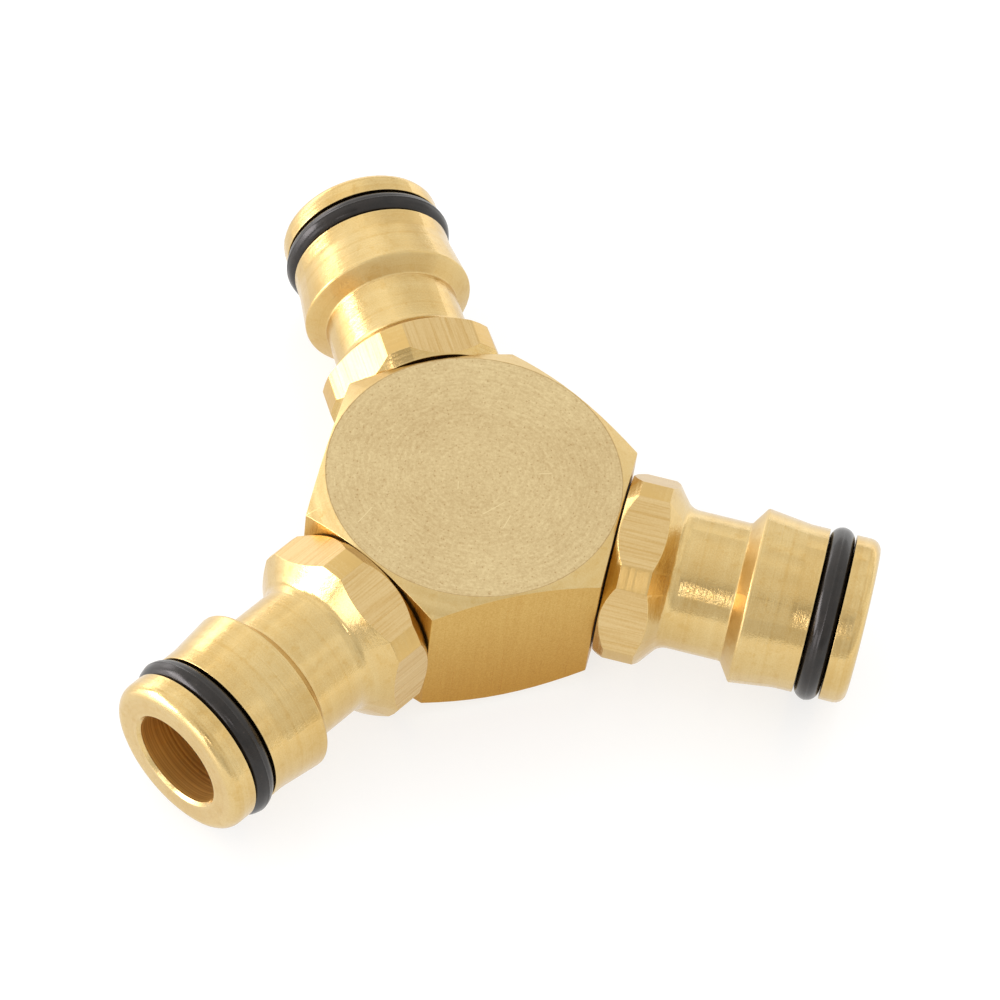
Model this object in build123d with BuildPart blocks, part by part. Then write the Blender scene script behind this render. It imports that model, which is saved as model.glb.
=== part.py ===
from build123d import *
import os
from math import cos, pi, radians, tan

# Three-way push-to-connect (click) coupling for a water hose, in brass.
# A hexagonal hub carries three male plugs at 120 degrees. Each plug screws into the hub on a
# parallel pipe thread, is sealed there by a flat washer, and carries an O-ring in its nose.
# The origin is the crossing of the three port axes, +Z is up and +X runs out along plug a.
# All sizes are in millimetres. "Reach" is a distance from the origin along a port's axis.
# Pieces of a port are modelled along +X, port a's axis, and then turned to their own port.

# ---- ports: letter, direction round the hub, and the turn at which its hexagon stopped ---
PORTS = {"a": (0, 13.7), "b": (120, 11), "c": (240, 34.5)}

# ---- hub -------------------------------------------------------------------------------
HUB_ACROSS_FLATS = 28.0
HUB_HEIGHT = 16.3
HUB_FACE_RADIUS = 13.9       # circle where the turned chamfer meets the top and bottom
HUB_CORNER_DROP = 1.4        # how far that chamfer runs down each corner
WATERWAY_RADIUS = 4.7

# ---- G 1/4 thread between hub and plug -------------------------------------------------
THREAD_PITCH = 1.337
THREAD_FLANK = 27.5          # half of the 55 degree thread angle
THREAD_MEAN_RADIUS = 6.15
THREAD_PLAY = 0.05           # on each flank of each part
THREAD_OVERCUT = 0.2         # how far a groove tool stands out of the crest it cuts
THREAD_START_TURN = 250      # where both grooves start round the axis, clear of face seams
PORT_DRILL_RADIUS = 5.9
PORT_ROOT_RADIUS = 6.62
PLUG_CREST_RADIUS = 6.5
PLUG_ROOT_RADIUS = 5.72
PORT_TURNS = 6.2
PLUG_TURNS = 6.0

# ---- hub port, by reach ----------------------------------------------------------------
PORT_FACE = HUB_ACROSS_FLATS / 2
PORT_RELIEF_RADIUS = 6.7
PORT_RELIEF_START = 5.4
PORT_THREAD_START = 6.7
WASHER_SEAT_DEPTH = 0.9
WASHER_SEAT = PORT_FACE - WASHER_SEAT_DEPTH
WASHER_SEAT_RADIUS = 7.65
THREAD_RING_RADIUS = 7.2     # the threaded wall is made apart out to here, then joined on

# ---- sealing washer --------------------------------------------------------------------
WASHER_THICKNESS = 0.9
WASHER_INNER_RADIUS = 6.6
WASHER_OUTER_RADIUS = 7.55
WASHER_GAP = 0.1

# ---- plug, by reach and radius ---------------------------------------------------------
SPIGOT_TIP = 6.3
SPIGOT_TIP_CHAMFER = 0.9
SPIGOT_RELIEF = 12.6         # where the thread ends in an undercut below the flange
SPIGOT_RELIEF_RADIUS = 5.6
FLANGE_GAP = 0.2             # left between hub and flange by the washer
FLANGE_FACE = PORT_FACE + FLANGE_GAP
FLANGE_FACE_RADIUS = 8.4
FLANGE_CHAMFER_END = 15.3
FLANGE_ACROSS_FLATS = 17.0
FLANGE_CORNER_RADIUS = 9.23
FLANGE_CONE_START = 18.2
FLANGE_CONE_ANGLE = 52.0
NECK_RADIUS = 6.66
NECK_FILLET = 1.5
NECK_END = 26.08
CREST = 27.26
CREST_RADIUS = 8.4
HEAD_TAPER_END = 31.5
HEAD_RADIUS = 7.87
GROOVE_START = 33.29
GROOVE_END = 35.84
GROOVE_FLOOR_RADIUS = 5.95
NOSE_RADIUS = 7.9
NOSE_END = 38.3
NOSE_ROUND = 1.35
NOSE_BORE_CHAMFER = 0.3

# ---- O-ring ----------------------------------------------------------------------------
RING_SECTION_RADIUS = 1.2
RING_OUTER_RADIUS = 8.3

CUT_CLEARANCE = 1.0          # how far a cutting profile runs past the metal it removes


def thread_groove(first_reach, turns, deep, shallow):
    """Helical groove tool along +X: its flanks open from the deep to the shallow radius."""
    slope = tan(radians(THREAD_FLANK)) * (1 if shallow > deep else -1)

    def half_width(radius):
        return THREAD_PITCH / 4 + (radius - THREAD_MEAN_RADIUS) * slope + THREAD_PLAY

    foot = Vector(first_reach, 0, 0)
    with BuildPart(mode=Mode.PRIVATE) as tool:
        with BuildLine() as path:
            Helix(THREAD_PITCH, turns * THREAD_PITCH, THREAD_MEAN_RADIUS,
                  center=(first_reach, 0, 0), direction=(1, 0, 0))
        start = path.line @ 0
        with BuildSketch(Plane(origin=start, x_dir=start - foot, z_dir=path.line % 0)):
            with BuildLine():
                Polyline((deep - THREAD_MEAN_RADIUS, -half_width(deep)),
                         (shallow - THREAD_MEAN_RADIUS, -half_width(shallow)),
                         (shallow - THREAD_MEAN_RADIUS, half_width(shallow)),
                         (deep - THREAD_MEAN_RADIUS, half_width(deep)), close=True)
            make_face()
        sweep(path=path.line, is_frenet=True)
    return tool.part.rotate(Axis.X, THREAD_START_TURN)


def make_thread_ring():
    """Threaded wall of port a: a plain ring with the groove cut into its bore."""
    with BuildPart() as ring:
        with BuildSketch(Plane.YZ.offset(PORT_THREAD_START)):
            Circle(THREAD_RING_RADIUS)
            Circle(PORT_DRILL_RADIUS, mode=Mode.SUBTRACT)
        extrude(amount=WASHER_SEAT - PORT_THREAD_START)
        add(thread_groove(PORT_RELIEF_START + THREAD_PITCH / 2, PORT_TURNS, PORT_ROOT_RADIUS,
                          PORT_DRILL_RADIUS - THREAD_OVERCUT), mode=Mode.SUBTRACT)
    return ring


def make_hub():
    corner_radius = HUB_ACROSS_FLATS / 2 / cos(pi / 6)
    top = HUB_HEIGHT / 2
    edge = top - HUB_CORNER_DROP
    port_end = PORT_FACE + CUT_CLEARANCE
    ring = make_thread_ring()
    with BuildPart() as hub:
        with BuildSketch(Plane.XY.offset(-top)):
            RegularPolygon(HUB_ACROSS_FLATS / 2, 6, major_radius=False, rotation=30)
        extrude(amount=HUB_HEIGHT)
        with BuildSketch(Plane.XZ):
            with BuildLine():
                Polyline((0, -top), (HUB_FACE_RADIUS, -top), (corner_radius, -edge),
                         (corner_radius, edge), (HUB_FACE_RADIUS, top), (0, top), close=True)
            make_face()
        revolve(axis=Axis.Z, mode=Mode.INTERSECT)
        for direction, _ in PORTS.values():
            with BuildSketch(Plane.XZ.rotated((0, 0, direction))):
                with BuildLine():
                    Polyline((0, 0), (0, WATERWAY_RADIUS), (PORT_RELIEF_START, WATERWAY_RADIUS),
                             (PORT_RELIEF_START, PORT_RELIEF_RADIUS),
                             (PORT_THREAD_START, PORT_RELIEF_RADIUS),
                             (PORT_THREAD_START, THREAD_RING_RADIUS),
                             (WASHER_SEAT, THREAD_RING_RADIUS), (WASHER_SEAT, WASHER_SEAT_RADIUS),
                             (port_end, WASHER_SEAT_RADIUS), (port_end, 0), close=True)
                make_face()
            revolve(axis=Axis((0, 0, 0), Vector(1, 0, 0).rotate(Axis.Z, direction)),
                    mode=Mode.SUBTRACT)
        for direction, _ in PORTS.values():
            add(ring.part.rotate(Axis.Z, direction))
    return hub


def make_plug(spanner_turn):
    cone_length = (FLANGE_CORNER_RADIUS - NECK_RADIUS) / tan(radians(FLANGE_CONE_ANGLE))
    cone_end = FLANGE_CONE_START + cone_length
    bore_start = SPIGOT_TIP - CUT_CLEARANCE
    with BuildPart() as plug:
        with BuildSketch(Plane.XZ) as half:
            with BuildLine():
                Polyline((SPIGOT_TIP, 0), (SPIGOT_TIP, PLUG_CREST_RADIUS - SPIGOT_TIP_CHAMFER),
                         (SPIGOT_TIP + SPIGOT_TIP_CHAMFER, PLUG_CREST_RADIUS),
                         (SPIGOT_RELIEF, PLUG_CREST_RADIUS), (SPIGOT_RELIEF, SPIGOT_RELIEF_RADIUS),
                         (FLANGE_FACE, SPIGOT_RELIEF_RADIUS), (FLANGE_FACE, FLANGE_FACE_RADIUS),
                         (FLANGE_CHAMFER_END, FLANGE_CORNER_RADIUS),
                         (FLANGE_CONE_START, FLANGE_CORNER_RADIUS), (cone_end, NECK_RADIUS),
                         (NECK_END, NECK_RADIUS), (CREST, CREST_RADIUS),
                         (HEAD_TAPER_END, HEAD_RADIUS), (GROOVE_START, HEAD_RADIUS),
                         (GROOVE_START, GROOVE_FLOOR_RADIUS), (GROOVE_END, GROOVE_FLOOR_RADIUS),
                         (GROOVE_END, NOSE_RADIUS), (NOSE_END, NOSE_RADIUS), (NOSE_END, 0),
                         close=True)
            make_face()
            fillet(half.vertices().sort_by_distance((cone_end, 0, NECK_RADIUS))[0], NECK_FILLET)
            fillet(half.vertices().sort_by_distance((NOSE_END, 0, NOSE_RADIUS))[0], NOSE_ROUND)
        revolve(axis=Axis.X)
        with BuildSketch(Plane.YZ.offset(FLANGE_FACE)):
            Circle(FLANGE_CORNER_RADIUS + CUT_CLEARANCE)
            RegularPolygon(FLANGE_ACROSS_FLATS / 2, 6, major_radius=False,
                           rotation=spanner_turn, mode=Mode.SUBTRACT)
        extrude(amount=cone_end - FLANGE_FACE, mode=Mode.SUBTRACT)
        add(thread_groove(PORT_RELIEF_START, PLUG_TURNS, PLUG_ROOT_RADIUS,
                          PLUG_CREST_RADIUS + THREAD_OVERCUT), mode=Mode.SUBTRACT)
        with BuildSketch(Plane.XZ):
            with BuildLine():
                Polyline((bore_start, 0), (bore_start, WATERWAY_RADIUS),
                         (NOSE_END - NOSE_BORE_CHAMFER, WATERWAY_RADIUS),
                         (NOSE_END, WATERWAY_RADIUS + NOSE_BORE_CHAMFER), (NOSE_END, 0),
                         close=True)
            make_face()
        revolve(axis=Axis.X, mode=Mode.SUBTRACT)
    return plug


def make_o_ring():
    middle = (GROOVE_START + GROOVE_END) / 2
    with BuildPart() as ring:
        with BuildSketch(Plane.XZ):
            with Locations((middle, RING_OUTER_RADIUS - RING_SECTION_RADIUS)):
                Circle(RING_SECTION_RADIUS)
        revolve(axis=Axis.X)
    return ring


def make_washer():
    with BuildPart() as washer:
        with BuildSketch(Plane.YZ.offset(WASHER_SEAT + WASHER_GAP)):
            Circle(WASHER_OUTER_RADIUS)
            Circle(WASHER_INNER_RADIUS, mode=Mode.SUBTRACT)
        extrude(amount=WASHER_THICKNESS)
    return washer


def write(piece, name, direction=0):
    """Turn a finished piece to its port's direction, name it and write it."""
    piece.part = piece.part.rotate(Axis.Z, direction)
    piece.part.label = name
    export_step(piece.part, f"parts/{name}.step")


os.makedirs("parts", exist_ok=True)
write(make_hub(), "hub_body")
for letter, (direction, spanner_turn) in PORTS.items():
    write(make_plug(spanner_turn), f"plug_{letter}", direction)
    write(make_o_ring(), f"o_ring_{letter}", direction)
    write(make_washer(), f"sealing_washer_{letter}", direction)
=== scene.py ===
import math

import bmesh
import bpy
from bpy.props import FloatProperty, FloatVectorProperty, PointerProperty
from bpy.types import Operator, Panel, PropertyGroup
from mathutils import Matrix, Vector


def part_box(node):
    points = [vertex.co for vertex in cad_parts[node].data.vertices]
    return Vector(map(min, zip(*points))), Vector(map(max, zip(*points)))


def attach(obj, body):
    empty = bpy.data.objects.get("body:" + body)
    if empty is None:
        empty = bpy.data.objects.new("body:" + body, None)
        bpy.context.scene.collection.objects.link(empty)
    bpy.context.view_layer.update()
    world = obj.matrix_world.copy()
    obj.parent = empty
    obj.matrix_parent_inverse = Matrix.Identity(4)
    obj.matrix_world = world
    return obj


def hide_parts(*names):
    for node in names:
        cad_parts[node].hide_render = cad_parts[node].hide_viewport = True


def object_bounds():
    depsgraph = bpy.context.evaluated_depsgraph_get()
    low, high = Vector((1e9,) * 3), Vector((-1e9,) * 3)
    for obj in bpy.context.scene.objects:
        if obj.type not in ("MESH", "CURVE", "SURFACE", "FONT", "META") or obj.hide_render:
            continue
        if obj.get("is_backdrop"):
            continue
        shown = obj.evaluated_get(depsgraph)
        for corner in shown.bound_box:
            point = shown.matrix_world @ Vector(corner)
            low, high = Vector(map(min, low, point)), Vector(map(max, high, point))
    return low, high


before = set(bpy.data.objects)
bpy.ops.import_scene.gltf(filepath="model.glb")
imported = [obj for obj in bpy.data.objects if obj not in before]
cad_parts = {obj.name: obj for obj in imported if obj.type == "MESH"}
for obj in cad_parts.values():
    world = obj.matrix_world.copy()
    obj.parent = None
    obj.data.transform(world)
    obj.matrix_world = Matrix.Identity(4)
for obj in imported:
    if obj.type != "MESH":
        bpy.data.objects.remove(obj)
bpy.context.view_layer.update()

bl_info = {
    "name": "Brass hose splitter",
    "version": (1, 0, 0),
    "blender": (4, 5, 0),
    "location": "View3D > Sidebar > Hose splitter",
    "description": "Builds a three-way brass hose splitter with click plugs, and a small studio",
    "category": "Add Mesh",
}

MM = 0.001
FULL_TURN = 2 * math.pi

# Points closer than this many metres are one, and edges that turn more than this are creases.
WELD = 1e-7
CREASE = math.radians(32)

# Each port's letter, its direction round the hub in degrees, and the turn in degrees at which
# a corner of its plug's hexagon stopped, counted round the plug from the +Y side.
PORTS = {"a": (0, 13.7), "b": (120, 11), "c": (240, 34.5)}

# G 1/4 pipe thread, in millimetres. The plug's groove and the port's ridge share one phase.
THREAD_PITCH = 1.337
PLUG_THREAD = ((-0.566, 6.5), (-0.160, 5.72), (0.160, 5.72), (0.566, 6.5))
PORT_THREAD = ((-0.529, 6.62), (-0.154, 5.9), (0.154, 5.9), (0.529, 6.62))

# Places along a port's axis, in millimetres from the crossing of the three axes.
PORT_RELIEF = (5.4, 6.7)
WASHER_SEAT = 13.1
SPIGOT_TIP = 6.3
SPIGOT_RELIEF = 12.6
FLANGE_FACE = 14.2
FLANGE_CHAMFER_END = 15.3
FLANGE_CONE_START = 18.2
FLANGE_CONE_END = 20.21
NECK_END = 26.08
CREST = 27.26
HEAD_TAPER_END = 31.5
GROOVE = (33.29, 35.84)
NOSE_END = 38.3

# Radii round a port's axis, in millimetres.
PORT_RELIEF_RADIUS = 6.7
WASHER_SEAT_RADIUS = 7.65
SPIGOT_RELIEF_RADIUS = 5.6
SPIGOT_TIP_RADIUS = 5.6
FLANGE_FACE_RADIUS = 8.4

# Small chamfers, and how far a port's cutter passes the hub's middle and its face.
PORT_MOUTH_CHAMFER = 0.12
BORE_CHAMFER = 0.3
CUTTER_PAST_MIDDLE = 0.4
CUTTER_PAST_FACE = 1

# The hub's narrow corners, and a loop inside the edge of each face that keeps it flat.
HUB_CORNER_ROUNDING = 0.14
HUB_LOOP_INSIDE = 1.5
HUB_MARKS = (-1, -0.8, -0.6, -0.4, -0.2, 0, 0.2, 0.4, 0.6, 0.8, 1)
HUB_CORNER_MARKS = (0.25, 0.5, 0.75)
FEWEST_HUB_FACES = 1000

# Where the plug's columns stand: across each flat, -1 to 1, and across each corner, 0 to 1.
FLAT_MARKS = (-1, -0.985, -0.9, -0.75, -0.6, -0.45, -0.3, -0.15, 0,
              0.15, 0.3, 0.45, 0.6, 0.75, 0.9, 0.985, 1)
CORNER_MARKS = (0.04, 0.5, 0.96)

# Pieces in the arc of one rounded corner, and columns or points round a ring.
PLUG_ARC, HUB_ARC, WASHER_ARC = 5, 2, 2
PORT_COLUMNS, RING_COLUMNS, RING_SECTION_POINTS = 72, 96, 32

# Shares of one step of the O-ring's section at which its flash ends and starts.
FLASH_END, FLASH_START = 0.18, 0.82

# Fine scratches on the hub's faces: middle, turn in degrees and length, in millimetres.
SCRATCHES = ((-8.6, -7.4, 68, 2.2), (2.6, -3.2, 50, 2.6), (4.1, -4.4, 78, 1.6),
             (-1.2, -1.6, 100, 0.9), (6.3, 2.1, 20, 1.2))

# Light of the softboxes, a little pink to balance the yellow of the brass.
WARM_WHITE = "#FFF7F9"
TENT_WHITE = "#FFFEFC"

# Each light's place and size in metres, and the setting that holds its power.
LIGHTS = {
    "softbox_left": ((-0.53, -0.12, 0.11), (0.42, 0.20), "key"),
    "softbox_front_left": ((-0.30, -0.46, 0.12), (0.22, 0.20), "fill"),
    "softbox_back_left": ((-0.45, 0.315, 0.05), (0.30, 0.16), "back"),
    "flash_front": ((-0.035, -0.39, 0.31), (0.10, 0.045), "flash"),
}

# Where the tent has its dark opening for a lens.
LENS_OPENING = (0.07, -0.66, 0.75)

# Camera: azimuth, elevation and roll in degrees, its distance and its aim to the right and up
# in millimetres, and its focal length on a sensor 36 mm wide.
CAMERA_TURNS = (6.854, 53.384, 8.724)
CAMERA_DISTANCE = 375.568
CAMERA_AIM = (2.700, 2.933)
CAMERA_LENS = 143.27
SENSOR_WIDTH = 36.0

# Half the floor's side, in metres: far enough that its edge stays out of low views.
FLOOR_HALF = 4.0

HUB_LOW, HUB_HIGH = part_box("hub_body")
RING_LOW, RING_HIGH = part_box("o_ring_a")
WASHER_LOW, WASHER_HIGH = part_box("sealing_washer_a")


def linear(code):
    """Linear RGB of an sRGB hex colour."""
    parts = [int(code[i:i + 2], 16) / 255 for i in (1, 3, 5)]
    return tuple(p / 12.92 if p <= 0.04045 else ((p + 0.055) / 1.055) ** 2.4 for p in parts)


# ---- sizes and colours a user may change -------------------------------------------------

def length(name, description, default):
    """A property that holds a length in metres."""
    return FloatProperty(name=name, description=description, default=default, min=0.0,
                         precision=5, unit='LENGTH')


def colour(name, description, code):
    """A property that holds a colour, given as sRGB hex."""
    return FloatVectorProperty(name=name, description=description, default=linear(code),
                               size=3, min=0.0, max=1.0, subtype='COLOR')


class HubSizes(PropertyGroup):
    across_flats: length("Across flats", "Width of the hexagon bar",
                         HUB_HIGH.x - HUB_LOW.x)
    height: length("Height", "Distance between the two turned faces", HUB_HIGH.z - HUB_LOW.z)
    face_radius: length("Face radius", "Where the corner chamfer meets a face", 13.9 * MM)
    corner_drop: length("Corner drop", "How far the chamfer runs down a corner", 1.4 * MM)
    waterway_radius: length("Waterway radius", "Radius of the water passages", 4.7 * MM)
    edge_break: length("Edge break", "Rounding left on the hub's edges", 0.09 * MM)


class PlugSizes(PropertyGroup):
    across_flats: length("Across flats", "Spanner size of the flange", 17.0 * MM)
    corner_radius: length("Corner radius", "Turned radius across the flange's corners",
                          9.23 * MM)
    neck_radius: length("Neck radius", "Radius of the neck behind the crest", 6.66 * MM)
    crest_radius: length("Crest radius", "Radius of the crest that the claws hold", 8.4 * MM)
    head_radius: length("Head radius", "Radius of the head in front of its taper", 7.87 * MM)
    groove_radius: length("Groove radius", "Radius of the O-ring groove's floor", 5.95 * MM)
    nose_radius: length("Nose radius", "Radius of the nose's land", 7.9 * MM)
    bore_radius: length("Bore radius", "Radius of the bore", 4.7 * MM)


class SealSizes(PropertyGroup):
    ring_section: length("Ring section", "Thickness of the O-ring's cord",
                         RING_HIGH.x - RING_LOW.x)
    ring_radius: length("Ring radius", "Outer radius of the fitted O-ring", RING_HIGH.z)
    flash: length("Moulding flash", "How far the O-ring's parting line stands out", 0.03 * MM)
    washer_radius: length("Washer radius", "Outer radius of the flat washer", WASHER_HIGH.z)
    washer_hole: length("Washer hole", "Inner radius of the flat washer", 6.6 * MM)


class Finishes(PropertyGroup):
    turned: colour("Turned brass", "Colour of the turned surfaces", "#D8BE86")
    faced: colour("Faced brass", "Colour of the hub's faces", "#DCC899")
    chamfers: colour("Hub chamfers", "Colour of the hub's turned corner chamfers", "#D6BE88")
    # Deeper and more orange than the plugs' flats: painted shade for the shadowed floor they
    # reflect.
    hub_flats: colour("Hub flats", "Colour of the hub's flats, left from the bar", "#D4B065")
    plug_flats: colour("Plug flats", "Colour of the plugs' flats, left from the bar",
                       "#D8BD88")
    # Brighter than the outside brass: painted light that lifts the shaded inside of the bores.
    bored: colour("Bored brass", "Colour inside the waterways and ports", "#FAD584")
    rubber: colour("Rubber", "Colour of the O-rings", "#1B1612")
    washer: colour("Washer", "Colour of the sealing washers", "#3A261B")
    floor: colour("Floor", "Colour of the studio floor", "#FAFAF9")


class StudioSettings(PropertyGroup):
    key: FloatProperty(name="Key light", description="Power of the softbox on the left",
                       default=2.1, min=0.0, unit='POWER')
    fill: FloatProperty(name="Fill light", description="Power of the low softbox in front",
                        default=0.4, min=0.0, unit='POWER')
    back: FloatProperty(name="Back light", description="Power of the softbox behind on the left",
                        default=0.33, min=0.0, unit='POWER')
    flash: FloatProperty(name="Flash", description="Power of the small light over the lens",
                         default=0.07, min=0.0, unit='POWER')
    tent: FloatProperty(name="Tent", description="Brightness of the white tent all round",
                        default=1.1, min=0.0)
    floor_glow: FloatProperty(name="Floor glow",
                              description="Light that comes up through the lit floor",
                              default=0.71, min=0.0)


# ---- meshes ------------------------------------------------------------------------------

def rounded(corners, steps):
    """The line through corners (x, y, rounding), where each one that has a rounding becomes
    an arc of steps pieces."""
    points = [Vector(corner[:2]) for corner in corners]
    line = []
    for i, here in enumerate(points):
        rounding = corners[i][2]
        if not rounding:
            line.append(here)
            continue
        before = points[i - 1] - here
        after = points[(i + 1) % len(points)] - here
        reach = 0.45 * min(before.length, after.length)
        if reach < 1e-4:
            line += [here] * (steps + 1)
            continue
        u, v = before.normalized(), after.normalized()
        half = u.angle(v) / 2
        tangent = min(rounding / math.tan(half), reach)
        size = tangent * math.tan(half)
        centre = here + (u + v).normalized() * size / math.sin(half)
        start, end = here + u * tangent - centre, here + v * tangent - centre
        sweep = math.pi - 2 * half
        for k in range(steps + 1):
            t = k / steps
            line.append(centre + (start * math.sin((1 - t) * sweep) + end * math.sin(t * sweep))
                        / math.sin(sweep))
    return line


def thread_line(turn, start, end, form):
    """(place, radius) along a thread at an angle of turn (0 to 1) round the axis."""
    def radius_at(place):
        phase = (place / THREAD_PITCH - turn) % 1 * THREAD_PITCH
        low, high = form[2], form[3]
        away = min(phase, THREAD_PITCH - phase)
        share = min(max((away - low[0]) / (high[0] - low[0]), 0), 1)
        return low[1] + (high[1] - low[1]) * share

    first = math.floor(start / THREAD_PITCH) - 2
    last = math.ceil(end / THREAD_PITCH) + 1
    line = []
    for k in range(first, last + 1):
        for offset, radius in form:
            place = (k + turn) * THREAD_PITCH + offset
            if start < place < end:
                line.append(Vector((place, radius)))
            else:
                place = min(max(place, start), end)
                line.append(Vector((place, radius_at(place))))
    return line


def smooth_with_creases(mesh):
    mesh.shade_smooth()
    mesh.set_sharp_from_angle(angle=CREASE)


def new_object(name, bm, materials):
    """An object in the scene from a finished bmesh, shaded smooth with its creases sharp."""
    mesh = bpy.data.meshes.new(name)
    bm.to_mesh(mesh)
    bm.free()
    for material in materials:
        mesh.materials.append(material)
    smooth_with_creases(mesh)
    piece = bpy.data.objects.new(name, mesh)
    bpy.context.scene.collection.objects.link(piece)
    return piece


def mesh_from_columns(name, columns, materials, choose=None, closed=True):
    """A mesh from equal columns of points side by side round an axis. The first and last
    column lie on each other and are welded. A column is a closed loop, or a line whose ends
    are on the axis. choose gives the material of a face from its column and row."""
    bm = bmesh.new()
    grid = [[bm.verts.new(point) for point in column] for column in columns]
    count = len(columns[0])
    for c in range(len(columns) - 1):
        for r in range(count if closed else count - 1):
            s = (r + 1) % count
            face = bm.faces.new((grid[c][r], grid[c][s], grid[c + 1][s], grid[c + 1][r]))
            face.material_index = choose(c, r) if choose else 0
    bmesh.ops.remove_doubles(bm, verts=bm.verts, dist=WELD)
    bmesh.ops.dissolve_degenerate(bm, edges=bm.edges, dist=WELD)
    bmesh.ops.recalc_face_normals(bm, faces=bm.faces)
    return new_object(name, bm, materials)


def weight_normals(piece):
    """Large faces keep their own direction, and narrow broken edges carry the turn."""
    weighted = piece.modifiers.new("Face weighted shading", 'WEIGHTED_NORMAL')
    weighted.mode = 'FACE_AREA'
    weighted.weight = 100
    weighted.keep_sharp = True


def around_x(place, radius, angle):
    """The point at a place along +X, a radius from it and an angle round it, in metres."""
    return Vector((place, radius * math.cos(angle), radius * math.sin(angle))) * MM


def plug_angles(corner_turn, flat_half):
    """Angles of the plug's columns and, for each, the angle from the middle of its flat."""
    sixth = math.pi / 3
    corner = sixth - 2 * flat_half
    angles = []
    for k in range(6):
        middle = math.radians(corner_turn) + sixth * (k + 0.5)
        angles += [(middle + m * flat_half, m * flat_half) for m in FLAT_MARKS]
        angles += [(middle + flat_half + m * corner, None) for m in CORNER_MARKS]
    angles.append((angles[0][0] + FULL_TURN, angles[0][1]))
    return angles


def plug_outline(wall, sizes):
    """Half the plug's section from its spigot's relief round to its bore, in millimetres, where
    the flange's wall stands this far from the axis."""
    corner, neck = sizes.corner_radius / MM, sizes.neck_radius / MM
    head, groove = sizes.head_radius / MM, sizes.groove_radius / MM
    nose, bore = sizes.nose_radius / MM, sizes.bore_radius / MM
    cone_slope = (corner - neck) / (FLANGE_CONE_END - FLANGE_CONE_START)
    chamfer_slope = (corner - FLANGE_FACE_RADIUS) / (FLANGE_CHAMFER_END - FLANGE_FACE)
    return rounded([
        (SPIGOT_RELIEF, SPIGOT_RELIEF_RADIUS, 0),
        (FLANGE_FACE, SPIGOT_RELIEF_RADIUS, 0.2),
        (FLANGE_FACE, FLANGE_FACE_RADIUS, 0.05),
        (FLANGE_FACE + (wall - FLANGE_FACE_RADIUS) / chamfer_slope, wall, 0.07),
        (FLANGE_CONE_START + (corner - wall) / cone_slope, wall, 0.09),
        (FLANGE_CONE_END, neck, 1.5),
        (NECK_END, neck, 0.2),
        (CREST, sizes.crest_radius / MM, 0.3),
        (HEAD_TAPER_END, head, 6.0),
        (GROOVE[0], head, 0.07),
        (GROOVE[0], groove, 0.1),
        (GROOVE[1], groove, 0.1),
        (GROOVE[1], nose, 0.07),
        (NOSE_END, nose, 1.35),
        (NOSE_END, bore + BORE_CHAMFER, 0.06),
        (NOSE_END - BORE_CHAMFER, bore, 0.06),
        (SPIGOT_TIP, bore, 0)], PLUG_ARC)


def make_plug_mesh(name, corner_turn, sizes, materials):
    """A click plug along +X: threaded spigot, hexagon flange, neck, crest, head and nose."""
    turned, drawn, bored = range(3)
    flat, corner = sizes.across_flats / 2 / MM, sizes.corner_radius / MM
    columns = []
    for angle, from_middle in plug_angles(corner_turn, math.acos(flat / corner)):
        wall = corner if from_middle is None else min(corner, flat / math.cos(from_middle))
        thread = thread_line(angle / FULL_TURN, SPIGOT_TIP, SPIGOT_RELIEF, PLUG_THREAD)
        thread = [Vector((p.x, min(p.y, SPIGOT_TIP_RADIUS + p.x - SPIGOT_TIP))) for p in thread]
        columns.append([around_x(p.x, p.y, angle) for p in thread + plug_outline(wall, sizes)])
    # The outline has a sharp start and three rounded corners before its flat.
    flat_row = len(thread) + 3 * (PLUG_ARC + 1)
    bore_row = len(columns[0]) - 2
    columns_per_sixth, flat_columns = len(FLAT_MARKS) + len(CORNER_MARKS), len(FLAT_MARKS) - 1

    def choose(column, row):
        if row == bore_row:
            return bored
        on_flat = row == flat_row and column % columns_per_sixth < flat_columns
        return drawn if on_flat else turned

    piece = mesh_from_columns(name, columns, materials, choose)
    weight_normals(piece)
    return piece


def make_port_cutter(direction, sizes, material):
    """The space of one port along its axis: waterway, thread and washer seat."""
    bore, face = sizes.waterway_radius / MM, sizes.across_flats / 2 / MM
    mouth, past_face = PORT_MOUTH_CHAMFER, face + CUTTER_PAST_FACE
    mouth_radius = WASHER_SEAT_RADIUS + 2 * mouth
    columns = []
    for k in range(PORT_COLUMNS + 1):
        turn = k / PORT_COLUMNS
        line = [(-CUTTER_PAST_MIDDLE, 0), (-CUTTER_PAST_MIDDLE, bore), (PORT_RELIEF[0], bore),
                (PORT_RELIEF[0], PORT_RELIEF_RADIUS), (PORT_RELIEF[1], PORT_RELIEF_RADIUS)]
        line += thread_line(turn, PORT_RELIEF[1], WASHER_SEAT, PORT_THREAD)
        line += [(WASHER_SEAT, WASHER_SEAT_RADIUS), (face - mouth, WASHER_SEAT_RADIUS),
                 (face + mouth, mouth_radius), (past_face, mouth_radius), (past_face, 0)]
        columns.append([around_x(x, r, turn * FULL_TURN) for x, r in line])
    cutter = mesh_from_columns("port_cutter", columns, [material])
    cutter.matrix_world = Matrix.Rotation(math.radians(direction), 4, 'Z')
    return cutter


def hexagon_outline(across, corner_radius):
    """Points round a hexagon whose flats face its ports, with narrow rounded corners."""
    points = []
    apothem = across / 2
    half_side = (apothem - corner_radius) * math.tan(math.pi / 6)
    for k in range(6):
        turn = Matrix.Rotation(k * math.pi / 3, 2)
        points += [turn @ Vector((apothem, m * half_side)) for m in HUB_MARKS]
        centre = turn @ Vector((apothem - corner_radius, half_side))
        for t in HUB_CORNER_MARKS:
            angle = (k + t) * math.pi / 3
            points.append(centre + corner_radius * Vector((math.cos(angle), math.sin(angle))))
    return points + points[:1]


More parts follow.
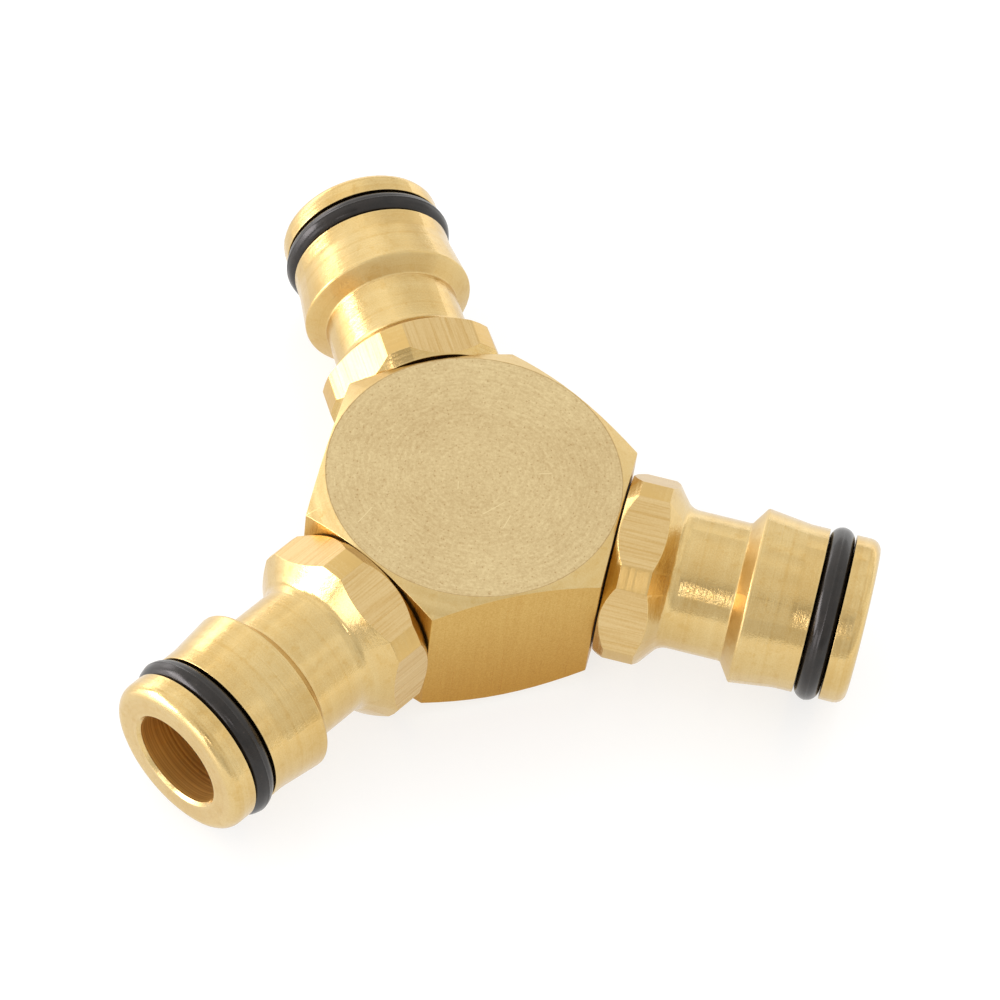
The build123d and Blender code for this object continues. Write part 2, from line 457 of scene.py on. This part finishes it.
def cut_port(piece, cutter):
    """Takes the cutter's space out of the piece's mesh, and removes the cutter."""
    cut = piece.modifiers.new("Port", 'BOOLEAN')
    cut.operation = 'DIFFERENCE'
    cut.solver = 'EXACT'
    cut.material_mode = 'TRANSFER'
    cut.object = cutter
    bpy.context.view_layer.update()
    seen = piece.evaluated_get(bpy.context.evaluated_depsgraph_get())
    cut_mesh = bpy.data.meshes.new_from_object(seen)
    piece.modifiers.clear()
    old = piece.data
    piece.data = cut_mesh
    bpy.data.meshes.remove(old)
    bpy.data.objects.remove(cutter)


def make_hub_mesh(name, sizes, materials):
    """The hub: hexagon bar faced and chamfered on both sides, with three ports cut in it."""
    faced, drawn, bored, turned = range(4)
    top, face = sizes.height / 2 / MM, sizes.face_radius / MM
    across, ease = sizes.across_flats / MM, sizes.edge_break / MM
    corner = across / 2 / math.cos(math.pi / 6)
    slope = sizes.corner_drop / MM / (corner - face)
    loop = face - HUB_LOOP_INSIDE
    columns = []
    for point in hexagon_outline(across, HUB_CORNER_ROUNDING):
        reach = point.length
        out = point / reach
        drop = top - slope * (reach - face)
        side = rounded([(0, top, 0), (loop, top, 0), (face, top, ease), (reach, drop, ease),
                        (reach, -drop, ease), (face, -top, ease), (loop, -top, 0),
                        (0, -top, 0)], HUB_ARC)
        columns.append([Vector((out.x * r, out.y * r, z)) * MM for r, z in side])
    # A column has two sharp points, then four rounded corners, with the flat in their middle.
    flat_row = 1 + 2 * (HUB_ARC + 1)
    turned_rows = range(2, 1 + 4 * (HUB_ARC + 1))

    def choose(column, row):
        return drawn if row == flat_row else turned if row in turned_rows else faced

    piece = mesh_from_columns(name, columns, materials, choose, closed=False)
    for direction, _ in PORTS.values():
        cut_port(piece, make_port_cutter(direction, sizes, materials[bored]))
    smooth_with_creases(piece.data)
    weight_normals(piece)
    return piece


def make_ring_mesh(name, line, materials):
    """A ring round +X from a closed line of (place, radius)."""
    columns = [[around_x(x, r, k / RING_COLUMNS * FULL_TURN) for x, r in line]
               for k in range(RING_COLUMNS + 1)]
    return mesh_from_columns(name, columns, materials)


# ---- materials ---------------------------------------------------------------------------

def set_inputs(tree, node, inputs):
    """Sets a node's inputs, and links those that are given as sockets."""
    for key, value in inputs.items():
        if isinstance(value, bpy.types.NodeSocket):
            tree.links.new(value, node.inputs[key])
        else:
            node.inputs[key].default_value = value


def add_node(tree, kind, inputs=None, output=0, **settings):
    """Adds a node with its settings, inputs and links, and returns one of its outputs."""
    node = tree.nodes.new(kind)
    for key, value in settings.items():
        setattr(node, key, value)
    set_inputs(tree, node, inputs or {})
    return node.outputs[output]


def layered(tree, layers, join='ADD', total=None):
    """Joins layers (pattern, low, high, level at low, level at high), after total if given."""
    for layer in layers:
        part = add_node(tree, "ShaderNodeMapRange", dict(enumerate(layer)))
        total = part if total is None else add_node(tree, "ShaderNodeMath",
                                                    {0: total, 1: part}, operation=join)
    return total


def start_material(name):
    """A new material, its node tree and shader, and the piece's coordinates in millimetres."""
    material = bpy.data.materials.new(name)
    material.use_nodes = True
    tree = material.node_tree
    place = add_node(tree, "ShaderNodeTexCoord", output="Object")
    in_mm = add_node(tree, "ShaderNodeVectorMath", {0: place, "Scale": 1 / MM},
                     operation='SCALE')
    return material, tree, tree.nodes["Principled BSDF"], in_mm


def from_axis(tree, in_mm, bar_axis):
    """Distance from the bar's axis, in millimetres."""
    across = add_node(tree, "ShaderNodeVectorMath",
                      {0: in_mm, 1: (0, 1, 1) if bar_axis == "X" else (1, 1, 0)},
                      operation='MULTIPLY')
    return add_node(tree, "ShaderNodeVectorMath", {0: across}, "Value", operation='LENGTH')


def tool_path(tree, in_mm, bar_axis):
    """How far a turning tool has fed: along the bar's axis plus a share of the radius, so
    cylinders, cones and faces all get rings."""
    along = add_node(tree, "ShaderNodeSeparateXYZ", {0: in_mm}, bar_axis)
    share = 0.37 if bar_axis == "X" else 1.0
    outward = add_node(tree, "ShaderNodeMath", {0: from_axis(tree, in_mm, bar_axis), 1: share},
                       operation='MULTIPLY')
    return add_node(tree, "ShaderNodeMath", {0: along, 1: outward}, operation='ADD')


def shade(base, factor=(1, 1, 1)):
    """The colour times a factor for red, green and blue, with its alpha."""
    return (*(min(1.0, c * f) for c, f in zip(base, factor)), 1)


def make_turned_brass(name, base, bar_axis, dulled=0.0):
    """Free-cutting brass, turned: fine feed rings that stretch highlights along the axis,
    with a soft warm shine. The real feed is about 0.1 mm, and is drawn at 0.25 mm to show.
    The flange and the crest are duller, and the flange has chatter marks 0.65 mm apart."""
    material, tree, shader, in_mm = start_material(name)
    fed = tool_path(tree, in_mm, bar_axis)
    rings = add_node(tree, "ShaderNodeTexNoise", {"W": fed, "Scale": 1 / 0.25, "Detail": 3.0,
                                                  "Roughness": 0.6}, noise_dimensions='1D')
    bands = add_node(tree, "ShaderNodeTexNoise", {"W": fed, "Scale": 1 / 1.1, "Detail": 1.0},
                     noise_dimensions='1D')
    ripple = add_node(tree, "ShaderNodeTexNoise", {"W": fed, "Scale": 1 / 0.65, "Detail": 1.0},
                      noise_dimensions='1D')
    cloud = add_node(tree, "ShaderNodeTexNoise",
                     {"Vector": in_mm, "Scale": 1 / 6, "Detail": 3.0})
    grain = add_node(tree, "ShaderNodeTexNoise",
                     {"Vector": in_mm, "Scale": 1 / 0.14, "Detail": 2.0})
    waves = add_node(tree, "ShaderNodeTexNoise", {"Vector": in_mm, "Scale": 1 / 1.4,
                                                  "Detail": 3.0, "Roughness": 0.6})
    stains = add_node(tree, "ShaderNodeTexNoise", {"Vector": in_mm, "Scale": 1 / 1.1,
                                                   "Detail": 4.0, "Roughness": 0.6})
    along = add_node(tree, "ShaderNodeSeparateXYZ", {0: in_mm}, "X")
    on_flange = add_node(tree, "ShaderNodeMath",
                         {0: along, 1: (FLANGE_CHAMFER_END + FLANGE_CONE_START) / 2,
                          2: (FLANGE_CONE_START - FLANGE_CHAMFER_END) / 2},
                         operation='COMPARE')
    on_crest = add_node(tree, "ShaderNodeMath",
                        {0: along, 1: (NECK_END + CREST) / 2,
                         2: (CREST - NECK_END) / 2 + 0.15}, operation='COMPARE')
    chatter = add_node(tree, "ShaderNodeMath", {0: ripple, 1: on_flange},
                       operation='MULTIPLY')
    tone = layered(tree, ((cloud, 0.3, 0.7, 0.0, 0.6),
                          (bands, 0.3, 0.7, 0.0, 0.3),
                          (rings, 0.3, 0.7, -0.05, 0.25),
                          (grain, 0.3, 0.7, -0.25, 0.25),
                          (stains, 0.55, 0.75, 0.0, -0.6),
                          (chatter, 0.0, 0.6, 0.0, -0.5)))
    height = layered(tree, ((grain, 0.0, 1.0, 0.0, 0.8),
                            (waves, 0.0, 1.0, 0.0, 4.0),
                            (chatter, 0.0, 1.0, 0.0, 5.0)), total=rings)
    set_inputs(tree, shader, {
        "Base Color": add_node(tree, "ShaderNodeMix",
                               {0: tone, 6: shade(base, (0.88, 0.79, 0.62)), 7: shade(base)},
                               2, data_type='RGBA'),
        "Metallic": 1.0,
        "Roughness": layered(tree, ((rings, 0.3, 0.7, 0.13 + dulled, 0.22 + dulled),
                                    (on_flange, 0.0, 1.0, 0.0, 0.14),
                                    (on_crest, 0.0, 1.0, 0.0, 0.14),
                                    (cloud, 0.35, 0.65, 0.0, 0.06))),
        "Normal": add_node(tree, "ShaderNodeBump",
                           {"Height": height, "Distance": 0.012 * MM, "Strength": 0.7})})
    return material


def scratch_marks(tree, in_mm):
    """1 on the scratches of the hub's faces, each 0.1 mm wide, and 0 beside them."""
    marks = 0.0
    for x, y, turn, long in SCRATCHES:
        place = add_node(tree, "ShaderNodeMapping",
                         {0: in_mm, 1: (x, y, 0), 2: (0, 0, math.radians(turn))},
                         vector_type='TEXTURE')
        sides = [add_node(tree, "ShaderNodeMath",
                          {0: add_node(tree, "ShaderNodeSeparateXYZ", {0: place}, axis),
                           1: 0.0, 2: half}, operation='COMPARE')
                 for axis, half in (("Y", 0.05), ("X", long / 2))]
        mark = add_node(tree, "ShaderNodeMath", dict(enumerate(sides)), operation='MULTIPLY')
        marks = add_node(tree, "ShaderNodeMath", {0: mark, 1: marks}, operation='ADD')
    return marks


def make_faced_brass(base, edge):
    """Brass faced across the end of the bar: rings round the middle, torn pits where the
    tool dragged, a few handling scratches and a burr line at the edge; broad soft reflection."""
    material, tree, shader, in_mm = start_material("brass_faced")
    fed = tool_path(tree, in_mm, "Z")
    across, depth = (add_node(tree, "ShaderNodeSeparateXYZ", {0: in_mm}, axis)
                     for axis in "XY")
    turn = add_node(tree, "ShaderNodeMath", {0: depth, 1: across}, operation='ARCTAN2')
    arcs_at = add_node(tree, "ShaderNodeCombineXYZ", {0: fed, 1: turn})
    stretched = add_node(tree, "ShaderNodeVectorMath",
                         {0: arcs_at, 1: (1 / 0.28, 7.0, 1.0)}, operation='MULTIPLY')
    arcs = add_node(tree, "ShaderNodeTexNoise", {"Vector": stretched, "Scale": 1.0,
                                                 "Detail": 3.0, "Roughness": 0.65})
    rings = add_node(tree, "ShaderNodeTexNoise", {"W": fed, "Scale": 1 / 0.45, "Detail": 2.0,
                                                  "Roughness": 0.6}, noise_dimensions='1D')
    patchy = add_node(tree, "ShaderNodeTexNoise",
                      {"Vector": in_mm, "Scale": 1 / 8, "Detail": 2.0})
    grain = add_node(tree, "ShaderNodeTexNoise", {"Vector": in_mm, "Scale": 1 / 0.25,
                                                  "Detail": 3.0, "Roughness": 0.75})
    pits = add_node(tree, "ShaderNodeTexVoronoi", {"Vector": in_mm, "Scale": 1 / 1.1},
                    "Distance", feature='F1', voronoi_dimensions='2D')
    pitted = layered(tree, ((pits, 0.03, 0.10, 1.0, 0.0),))
    burr = add_node(tree, "ShaderNodeMath",
                    {0: from_axis(tree, in_mm, "Z"), 1: edge - 0.07, 2: 0.05},
                    operation='COMPARE')
    tone = layered(tree, ((patchy, 0.3, 0.7, 0.46, 0.66),
                          (grain, 0.3, 0.7, -0.25, 0.31),
                          (arcs, 0.3, 0.7, -0.15, 0.18),
                          (rings, 0.3, 0.7, -0.03, 0.05),
                          (scratch_marks(tree, in_mm), 0.0, 1.0, 0.0, 0.9),
                          (burr, 0.0, 1.0, 0.0, -0.5),
                          (pitted, 0.0, 1.0, 0.0, -0.5)))
    height = layered(tree, ((rings, 0.0, 1.0, 0.0, 0.5),
                            (arcs, 0.0, 1.0, 0.0, 0.6),
                            (grain, 0.0, 1.0, 0.0, 1.0),
                            (pitted, 0.0, 1.0, 0.0, -2.0)))
    set_inputs(tree, shader, {
        "Base Color": add_node(tree, "ShaderNodeMix",
                               {0: tone, 6: shade(base, (0.62, 0.52, 0.42)), 7: shade(base)},
                               2, data_type='RGBA'),
        "Metallic": 1.0,
        "Roughness": layered(tree, ((grain, 0.3, 0.7, 0.34, 0.46),)),
        "Normal": add_node(tree, "ShaderNodeBump",
                           {"Height": height, "Distance": 0.014 * MM, "Strength": 0.8})})
    return material


def make_drawn_brass(name, base, along, lined=1.0, grained=1.0, shaded_below=0.0):
    """Brass flats left as the hexagon bar was drawn: straight die lines along the bar and a
    satin skin. Die lines are about 0.05 mm apart, and are drawn at 0.2 and 0.9 mm to show.
    The last argument is how much painted shade darkens the skin toward the underside,
    standing in for the shadowed floor that these flats reflect there."""
    material, tree, shader, in_mm = start_material(name)
    fine, broad = (
        add_node(tree, "ShaderNodeVectorMath",
                 {0: in_mm, 1: [1 / long if axis == along else 1 / apart for axis in "XYZ"]},
                 operation='MULTIPLY')
        for long, apart in ((8, 0.2), (25, 0.9)))
    lines = add_node(tree, "ShaderNodeTexNoise", {"Vector": fine, "Scale": 1.0, "Detail": 3.0})
    bands = add_node(tree, "ShaderNodeTexNoise", {"Vector": broad, "Scale": 1.0, "Detail": 2.0})
    grain = add_node(tree, "ShaderNodeTexNoise", {"Vector": in_mm, "Scale": 1 / 0.17,
                                                  "Detail": 2.0, "Roughness": 0.7})
    tone = layered(tree, ((lines, 0.36, 0.56, 0.2 - 0.3 * lined, 0.2 + 0.3 * lined),
                          (bands, 0.3, 0.7, 0.18 - 0.18 * lined, 0.18 + 0.17 * lined),
                          (grain, 0.3, 0.7, 0.1 - 0.2 * grained, 0.1 + 0.2 * grained)))
    skin = add_node(tree, "ShaderNodeMix",
                    {0: tone, 6: shade(base, (0.82, 0.72, 0.54)), 7: shade(base)},
                    2, data_type='RGBA')
    # Painted shade: the skin darkens toward the bottom, from 5 mm above the middle to 7 mm below
    # it.
    if shaded_below:
        rise = add_node(tree, "ShaderNodeSeparateXYZ", {0: in_mm}, "Z")
        low = layered(tree, ((rise, 5.0, -7.0, 0.0, shaded_below),))
        skin = add_node(tree, "ShaderNodeMix", {0: low, 6: skin, 7: shade(linear("#E7D39C"))},
                        2, data_type='RGBA', blend_type='MULTIPLY')
    height = layered(tree, ((lines, 0.0, 1.0, 0.0, lined),
                            (bands, 0.0, 1.0, 0.0, 1.2 * lined),
                            (grain, 0.0, 1.0, 0.0, 0.4 * grained)))
    set_inputs(tree, shader, {
        "Base Color": skin,
        "Metallic": 1.0,
        "Roughness": layered(tree, ((lines, 0.3, 0.7, 0.27, 0.4),)),
        "Normal": add_node(tree, "ShaderNodeBump",
                           {"Height": height, "Distance": 0.014 * MM, "Strength": 0.8})})
    return material


def make_bored_brass(name, base, bar_axis):
    """Brass drilled and bored: dull orange inside, with coarser tool rings 0.22 mm apart.
    Its base is brighter than the outside brass: painted light for the shaded bores.
    """
    material, tree, shader, in_mm = start_material(name)
    fed = tool_path(tree, in_mm, bar_axis)
    rings = add_node(tree, "ShaderNodeTexNoise", {"W": fed, "Scale": 1 / 0.22, "Detail": 3.0,
                                                  "Roughness": 0.7}, noise_dimensions='1D')
    tone = layered(tree, ((rings, 0.3, 0.7, 0.0, 1.0),))
    set_inputs(tree, shader, {
        "Base Color": add_node(tree, "ShaderNodeMix",
                               {0: tone, 6: shade(base, (0.6, 0.48, 0.36)), 7: shade(base)},
                               2, data_type='RGBA'),
        "Metallic": 1.0,
        "Roughness": 0.47,
        "Normal": add_node(tree, "ShaderNodeBump",
                           {"Height": rings, "Distance": 0.02 * MM, "Strength": 0.8})})
    return material


def make_moulded_rubber(name, base, grain_size, roughness):
    """Nitrile rubber: near black, satin and slightly dusty, so its shine is grey and soft."""
    material, tree, shader, in_mm = start_material(name)
    dust = add_node(tree, "ShaderNodeTexNoise",
                    {"Vector": in_mm, "Scale": 1 / 1.4, "Detail": 3.0})
    grain = add_node(tree, "ShaderNodeTexNoise", {"Vector": in_mm, "Scale": 1 / grain_size,
                                                  "Detail": 2.0, "Roughness": 0.7})
    specks = add_node(tree, "ShaderNodeTexVoronoi", {"Vector": in_mm, "Scale": 1 / 1.25},
                      "Distance", feature='F1')
    tone = layered(tree, ((dust, 0.4, 0.75, 0.0, 0.3),
                          (grain, 0.3, 0.7, 0.0, 0.2),
                          (specks, 0.05, 0.09, 0.7, 0.0)))
    set_inputs(tree, shader, {
        "Base Color": add_node(tree, "ShaderNodeMix",
                               {0: tone, 6: shade(base, (0.5, 0.5, 0.5)),
                                7: shade(base, (3.0, 3.0, 3.0))}, 2, data_type='RGBA'),
        "IOR": 1.5,
        "Specular IOR Level": 0.42,
        "Roughness": layered(tree, ((dust, 0.3, 0.7, roughness - 0.05, roughness + 0.07),)),
        "Normal": add_node(tree, "ShaderNodeBump",
                           {"Height": grain, "Distance": 0.01 * MM, "Strength": 0.5})})
    return material


def make_opal_acrylic(base, glow):
    """Opal white acrylic under the part, lit from below so that shadows stay faint. Its base
    is held down, because its own light makes up most of its white, and that light grows
    toward the back, from 40 to 260 mm."""
    material, tree, shader, in_mm = start_material("acrylic_opal")
    haze = add_node(tree, "ShaderNodeTexNoise",
                    {"Vector": in_mm, "Scale": 1 / 20, "Detail": 3.0})
    held_down = shade(base, (0.33, 0.33, 0.33))
    depth = add_node(tree, "ShaderNodeSeparateXYZ", {0: in_mm}, "Y")
    set_inputs(tree, shader, {
        "Base Color": add_node(tree, "ShaderNodeMix",
                               {0: haze, 6: shade(held_down, (0.98, 0.98, 0.98)),
                                7: held_down}, 2, data_type='RGBA'),
        "Roughness": 0.3,
        "Specular IOR Level": 0.5,
        "Emission Color": (1, 1, 1, 1),
        "Emission Strength": layered(tree, ((depth, 40.0, 260.0, glow, 1.6 * glow),))})
    return material


# ---- operators ---------------------------------------------------------------------------

class SPLITTER_OT_stage(Operator):
    """Adds the camera, the lights, the white tent and the floor"""
    bl_idname = "splitter.stage"
    bl_label = "Camera, lights and floor"

    def execute(self, context):
        settings = context.scene.splitter_studio
        self.add_camera(context.scene)
        for name, (place, size, power) in LIGHTS.items():
            self.add_light(context.scene, name, place, size, getattr(settings, power))
        self.add_tent(context.scene, settings.tent)
        self.add_floor(context.scene, settings.floor_glow)
        context.scene.view_settings.view_transform = 'Standard'
        return {'FINISHED'}

    def add_camera(self, scene):
        azimuth, elevation, roll = (math.radians(a) for a in CAMERA_TURNS)
        back = Vector((math.sin(azimuth) * math.cos(elevation),
                       -math.cos(azimuth) * math.cos(elevation), math.sin(elevation)))
        place = back * CAMERA_DISTANCE * MM
        right = (-back).cross(Vector((0, 0, 1))).normalized()
        target = (right * CAMERA_AIM[0] + right.cross(-back) * CAMERA_AIM[1]) * MM
        ahead = (target - place).normalized()
        right = ahead.cross(Vector((0, 0, 1))).normalized()
        up = right.cross(ahead)
        rolled_right = right * math.cos(roll) + up * math.sin(roll)
        rolled_up = up * math.cos(roll) - right * math.sin(roll)
        camera = bpy.data.cameras.new("camera")
        camera.sensor_width = SENSOR_WIDTH
        camera.lens = CAMERA_LENS
        camera.clip_start = 0.01
        mount = bpy.data.objects.new("camera", camera)
        turn = Matrix((rolled_right, rolled_up, -ahead)).transposed().to_4x4()
        mount.matrix_world = Matrix.Translation(place) @ turn
        scene.collection.objects.link(mount)
        scene.camera = mount

    def add_light(self, scene, name, place, size, power):
        light = bpy.data.lights.new(name, 'AREA')
        light.shape = 'RECTANGLE'
        light.size, light.size_y = size
        light.color = linear(WARM_WHITE)
        light.energy = power
        lamp = bpy.data.objects.new(name, light)
        lamp.location = place
        lamp.rotation_euler = Vector(place).to_track_quat('Z', 'Y').to_euler()
        scene.collection.objects.link(lamp)

    def add_tent(self, scene, strength):
        world = scene.world or bpy.data.worlds.new("tent")
        scene.world = world
        world.use_nodes = True
        tree = world.node_tree
        way = add_node(tree, "ShaderNodeTexCoord", output="Generated")
        across, depth, rise = (add_node(tree, "ShaderNodeSeparateXYZ", {0: way}, axis)
                               for axis in "XYZ")
        lens = add_node(tree, "ShaderNodeVectorMath", {0: way, 1: LENS_OPENING}, "Value",
                        operation='DOT_PRODUCT')
        cloth = add_node(tree, "ShaderNodeTexNoise",
                         {"Vector": way, "Scale": 3.5, "Detail": 3.0})
        level = layered(tree, ((across, -1.0, 0.0, 1.5, 1.0),
                               (across, 0.0, 1.0, 1.0, 1.25),
                               (depth, -0.6, 0.6, 0.84, 1.04),
                               (depth, 0.65, 0.9, 1.0, 1.12),
                               (rise, 0.05, 0.6, 0.74, 0.92),
                               (rise, -0.03, 0.0, 1.25, 1.0),
                               (cloth, 0.3, 0.7, 0.8, 1.2),
                               (lens, 0.98, 0.997, 1.0, 0.72)), 'MULTIPLY', strength)
        set_inputs(tree, tree.nodes["Background"],
                   {"Strength": level, "Color": shade(linear(TENT_WHITE))})

    def add_floor(self, scene, glow):
        bm = bmesh.new()
        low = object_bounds()[0][2]
        corners = [(-FLOOR_HALF, -FLOOR_HALF), (FLOOR_HALF, -FLOOR_HALF),
                   (FLOOR_HALF, FLOOR_HALF), (-FLOOR_HALF, FLOOR_HALF)]
        bm.faces.new([bm.verts.new((x, y, low)) for x, y in corners])
        floor = new_object("studio_floor", bm,
                           [make_opal_acrylic(scene.splitter_finishes.floor, glow)])
        floor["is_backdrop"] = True


class SPLITTER_OT_hub(Operator):
    """Builds the hexagon hub with its three threaded ports"""
    bl_idname = "splitter.hub"
    bl_label = "Hub"

    def execute(self, context):
        finish = context.scene.splitter_finishes
        materials = [make_faced_brass(finish.faced, context.scene.splitter_hub.face_radius / MM),
                     # The hub's flats get painted shade toward their bottom.
                     make_drawn_brass("brass_drawn_hub", finish.hub_flats, "Z", lined=0.4,
                                      grained=2.2, shaded_below=1.0),
                     make_bored_brass("brass_bored_hub", finish.bored, "Z"),
                     make_turned_brass("brass_turned_hub", finish.chamfers, "Z", dulled=0.14)]
        hub = make_hub_mesh("hub", context.scene.splitter_hub, materials)
        if len(hub.data.polygons) < FEWEST_HUB_FACES:
            raise RuntimeError("the hub's ports weren't cut")
        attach(hub, "hub")
        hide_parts("hub_body")
        return {'FINISHED'}


class SPLITTER_OT_plugs(Operator):
    """Builds the three click plugs, each with its hexagon at its own turn"""
    bl_idname = "splitter.plugs"
    bl_label = "Plugs"

    def execute(self, context):
        finish = context.scene.splitter_finishes
        materials = [make_turned_brass("brass_turned_plug", finish.turned, "X"),
                     make_drawn_brass("brass_drawn_plug", finish.plug_flats, "X"),
                     make_bored_brass("brass_bored_plug", finish.bored, "X")]
        for letter, (direction, corner_turn) in PORTS.items():
            plug = make_plug_mesh(f"click_plug_{letter}", corner_turn,
                                  context.scene.splitter_plug, materials)
            plug.rotation_euler.z = math.radians(direction)
            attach(plug, f"plug_{letter}")
            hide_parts(f"plug_{letter}")
        return {'FINISHED'}


class SPLITTER_OT_seals(Operator):
    """Builds the O-rings on the noses and the flat washers under the flanges"""
    bl_idname = "splitter.seals"
    bl_label = "O-rings and washers"

    def execute(self, context):
        sizes = context.scene.splitter_seals
        finish = context.scene.splitter_finishes
        ring_rubber = make_moulded_rubber("nitrile_rubber_moulded", finish.rubber,
                                          grain_size=0.25, roughness=0.22)
        washer_rubber = make_moulded_rubber("nitrile_sheet_punched", finish.washer,
                                            grain_size=0.12, roughness=0.6)
        for letter, (direction, _) in PORTS.items():
            ring = make_ring_mesh(f"nose_ring_{letter}", self.ring_line(sizes), [ring_rubber])
            washer = make_ring_mesh(f"flat_washer_{letter}", self.washer_line(sizes),
                                    [washer_rubber])
            for piece, body, node, slot in (
                    (ring, "plug", "o_ring", "o_ring_rubber"),
                    (washer, "washer", "sealing_washer", "washer_rubber")):
                piece.rotation_euler.z = math.radians(direction)
                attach(piece, f"{body}_{letter}")
                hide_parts(f"{node}_{letter}")
        return {'FINISHED'}

    def ring_line(self, sizes):
        """Round section with a thin flash where the mould's halves met, outside and inside."""
        middle = sum(GROOVE) / 2
        section = sizes.ring_section / 2 / MM
        centre = sizes.ring_radius / MM - section
        steps = RING_SECTION_POINTS
        flashes = (0, steps // 2)
        line = []
        for k in range(steps):
            angle = k / steps * FULL_TURN
            reach = section + (sizes.flash / MM if k in flashes else 0)
            line.append((middle + reach * math.sin(angle), centre + reach * math.cos(angle)))
            if k in flashes or (k + 1) % steps in flashes:
                angle += FULL_TURN / steps * (FLASH_END if k in flashes else FLASH_START)
                line.append((middle + section * math.sin(angle),
                             centre + section * math.cos(angle)))
        return line

    def washer_line(self, sizes):
        """Rectangular section with its punched edges a little rounded."""
        low, high = WASHER_LOW.x / MM, WASHER_HIGH.x / MM
        inner, outer = sizes.washer_hole / MM, sizes.washer_radius / MM
        return rounded([(low, inner, 0.05), (low, outer, 0.08), (high, outer, 0.08),
                        (high, inner, 0.05)], WASHER_ARC)


class SPLITTER_PT_panel(Panel):
    """Lists the splitter's operators and settings"""
    bl_idname = "SPLITTER_PT_panel"
    bl_label = "Hose splitter"
    bl_space_type = 'VIEW_3D'
    bl_region_type = 'UI'
    bl_category = "Hose splitter"

    def draw(self, context):
        for operator in OPERATORS:
            self.layout.operator(operator.bl_idname)
        for name, group in GROUPS.items():
            box = self.layout.box()
            for field in group.__annotations__:
                box.prop(getattr(context.scene, name), field)


OPERATORS = (SPLITTER_OT_stage, SPLITTER_OT_hub, SPLITTER_OT_plugs, SPLITTER_OT_seals)
GROUPS = {"splitter_hub": HubSizes, "splitter_plug": PlugSizes, "splitter_seals": SealSizes,
          "splitter_finishes": Finishes, "splitter_studio": StudioSettings}


def register():
    for group in GROUPS.values():
        bpy.utils.register_class(group)
    for name, group in GROUPS.items():
        setattr(bpy.types.Scene, name, PointerProperty(type=group))
    for cls in (*OPERATORS, SPLITTER_PT_panel):
        bpy.utils.register_class(cls)


def unregister():
    for cls in (SPLITTER_PT_panel, *OPERATORS):
        bpy.utils.unregister_class(cls)
    for name in GROUPS:
        delattr(bpy.types.Scene, name)
    for group in GROUPS.values():
        bpy.utils.unregister_class(group)


def main():
    register()
    bpy.ops.splitter.stage()
    bpy.ops.splitter.hub()
    bpy.ops.splitter.plugs()
    bpy.ops.splitter.seals()


if __name__ == "__main__":
    main()
